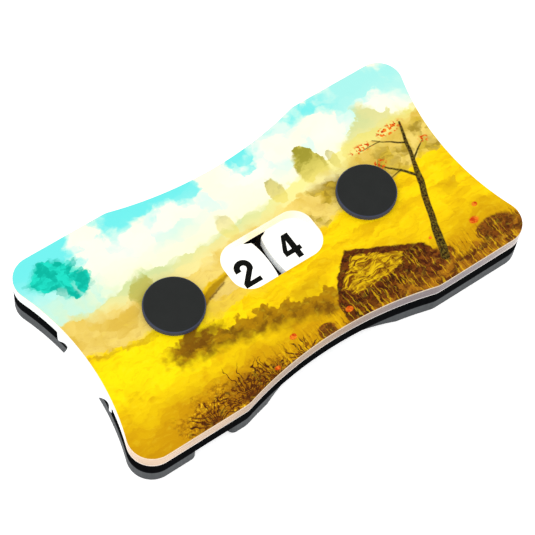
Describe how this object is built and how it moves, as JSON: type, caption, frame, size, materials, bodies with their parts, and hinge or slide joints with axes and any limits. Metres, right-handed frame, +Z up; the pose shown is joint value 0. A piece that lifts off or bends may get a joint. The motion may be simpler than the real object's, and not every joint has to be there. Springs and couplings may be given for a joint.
{
  "type": "dial score counter",
  "caption": "Hand-held layered score counter with a printed clear top plate, a reading window and two numbered thumb dials.",
  "frame": {"origin": "middle of the underside, where the counter lies on a table", "axes": "+X along the reading direction, from the left dial to the right dial; +Y towards the rear long edge; +Z up out of the printed face"},
  "size_m": [0.084, 0.0448, 0.0103],
  "materials": {
    "black_back": "gloss black cast acrylic, frosted grey cut edge",
    "black_spacer": "gloss black cast acrylic",
    "clear_plate": "clear cast acrylic with polished edges",
    "print": null,
    "white_dial": "satin white cast acrylic",
    "black_numeral": "matt black filled engraving",
    "black_post": "satin black coated metal",
    "washer": "translucent nylon"
  },
  "bodies": {
    "board": {"back_plate": "black_back", "front_spacer": "black_spacer", "rear_spacer": "black_spacer", "top_plate": "clear_plate", "print_film": "print", "left_post": "black_post", "right_post": "black_post", "left_screw": "black_post", "right_screw": "black_post", "left_low_washer": "washer", "left_top_washer": "washer", "right_low_washer": "washer", "right_top_washer": "washer"},
    "left_dial_body": {"left_dial": "white_dial", "left_numerals": "black_numeral"},
    "right_dial_body": {"right_dial": "white_dial", "right_numerals": "black_numeral"}
  },
  "joints": [
    {"name": "left_dial_spin", "type": "hinge", "parent": "board", "child": "left_dial_body", "pos_m": [-0.021, 0, 0.0045], "axis": [0, 0, 1], "continuous": true},
    {"name": "right_dial_spin", "type": "hinge", "parent": "board", "child": "right_dial_body", "pos_m": [0.021, 0, 0.0045], "axis": [0, 0, 1], "continuous": true}
  ]
}
